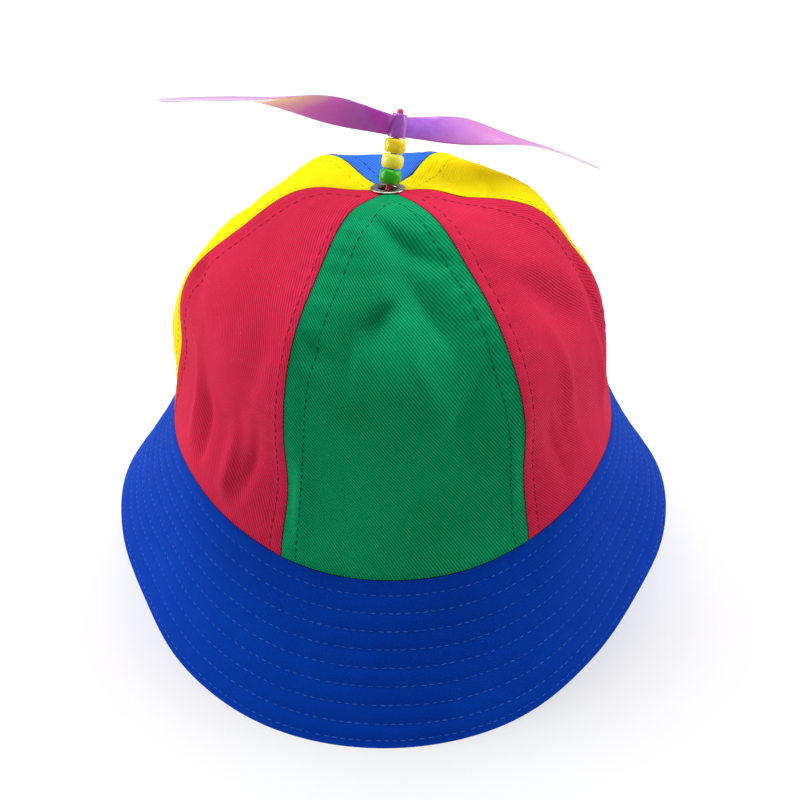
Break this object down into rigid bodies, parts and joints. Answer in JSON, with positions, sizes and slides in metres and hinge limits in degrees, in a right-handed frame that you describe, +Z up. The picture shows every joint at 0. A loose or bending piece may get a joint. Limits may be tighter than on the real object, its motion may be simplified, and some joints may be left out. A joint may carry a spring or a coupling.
{
  "type": "propeller beanie",
  "caption": "Cloth hat with gores in bright colours, a stitched sloping brim, and a translucent propeller that spins on a beaded stem above the crown.",
  "frame": {"origin": "on the surface the brim rests on, under the middle of the brim's outline", "axes": "+Z up, the front of the hat (green gore) faces -Y, +X is the right-hand side of the picture"},
  "size_m": [0.2444, 0.2708, 0.2097],
  "materials": {
    "green_twill": "cotton twill",
    "red_twill": "cotton twill",
    "yellow_twill": "cotton twill",
    "rear_blue_twill": "cotton twill",
    "brim_blue_twill": "stitched cotton twill",
    "eyelet_metal": "dull pressed metal",
    "stem_red": "moulded",
    "bead_green": "moulded",
    "bead_pale_yellow": "moulded",
    "bead_amber": "moulded",
    "propeller_purple": "translucent moulded"
  },
  "bodies": {
    "hat": {"front_panel": "green_twill", "right_front_panel": "red_twill", "right_rear_panel": "yellow_twill", "rear_panel": "rear_blue_twill", "left_rear_panel": "yellow_twill", "left_front_panel": "red_twill", "brim": "brim_blue_twill", "top_eyelet": "eyelet_metal", "stem": "stem_red", "bead_lower": "bead_green", "bead_middle": "bead_pale_yellow", "bead_upper": "bead_amber"},
    "propeller": {"propeller": "propeller_purple"}
  },
  "joints": [
    {"name": "propeller_spin", "type": "hinge", "parent": "hat", "child": "propeller", "pos_m": [0.0022, 0.01452, 0.17977], "axis": [0.157, 0.4788, 0.8638], "continuous": true}
  ]
}
